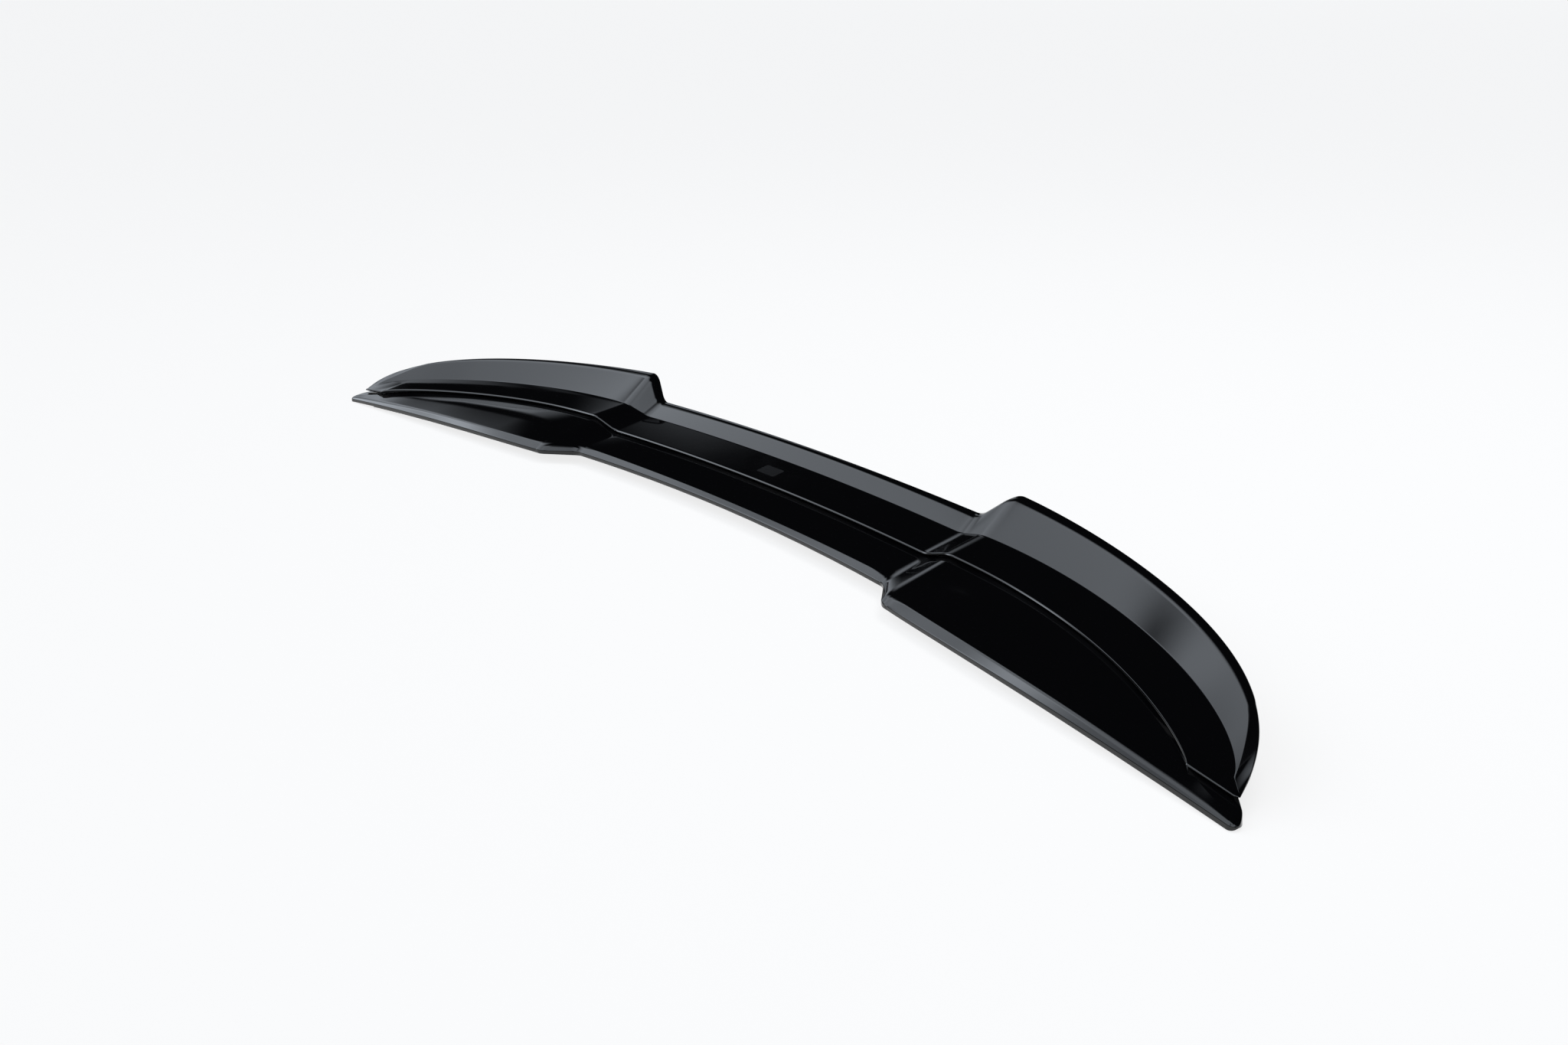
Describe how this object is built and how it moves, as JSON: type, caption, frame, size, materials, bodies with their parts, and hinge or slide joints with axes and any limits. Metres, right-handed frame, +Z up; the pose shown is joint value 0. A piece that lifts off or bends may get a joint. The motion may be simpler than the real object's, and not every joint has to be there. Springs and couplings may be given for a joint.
{
  "type": "boot-lid spoiler with extension",
  "caption": "Gloss black two-tier boot-lid spoiler: a low base moulding bonded along the lid edge, with a raised swept extension lip taped on top of it.",
  "frame": {"origin": "centre of the base's front edge, on the lid surface that the tape sticks to", "axes": "+X to the car's left along the span, +Y rearward, +Z up from the lid"},
  "size_m": [1.32, 0.21, 0.076],
  "materials": {
    "gloss_abs": "high gloss black",
    "foam_tape": "matt closed-cell foam"
  },
  "bodies": {
    "root": {"base": "gloss_abs", "extension": "gloss_abs", "deck_tape_front": "foam_tape", "deck_tape_rear": "foam_tape", "lid_tape_front": "foam_tape", "lid_tape_rear": "foam_tape"}
  },
  "joints": []
}
